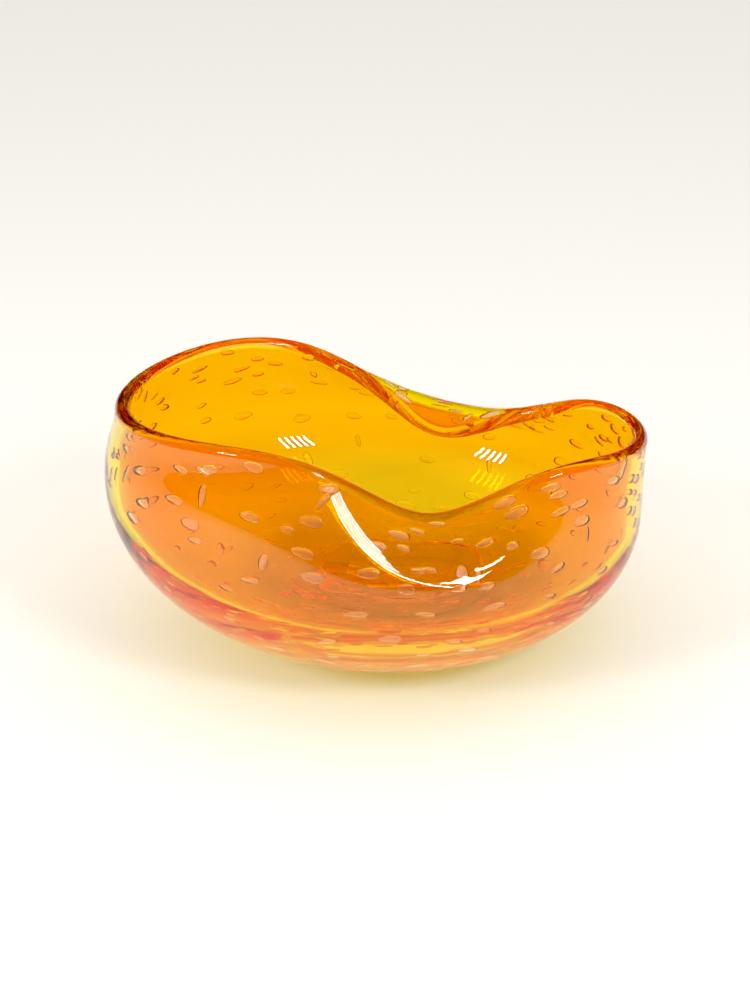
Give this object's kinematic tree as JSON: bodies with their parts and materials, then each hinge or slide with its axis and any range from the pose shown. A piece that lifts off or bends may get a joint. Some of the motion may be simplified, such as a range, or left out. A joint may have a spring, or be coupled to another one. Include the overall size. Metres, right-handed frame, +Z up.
{
  "type": "art glass bowl",
  "caption": "Free-blown amber and clear glass bowl with trapped bubbles, a heavy base and a lip pinched in at the front and the back.",
  "frame": {"origin": "middle of the ground flat that the bowl rests on", "axes": "+Z up out of the bowl, +X towards the smaller lobe, -Y towards the narrower pinch at the front"},
  "size_m": [0.1685, 0.149, 0.0847],
  "materials": {
    "amber_glass": "transparent amber glass, blown, glossy",
    "clear_glass": "colourless glass, blown, glossy, with trapped air bubbles",
    "polished_base_glass": "colourless glass, ground flat and polished",
    "fire_polished_glass": "amber and colourless glass, melted round and glossy"
  },
  "bodies": {
    "root": {"inner_gather": "amber_glass", "outer_casing": "clear_glass", "pontil_disc": "polished_base_glass", "rim_bead": "fire_polished_glass"}
  },
  "joints": []
}
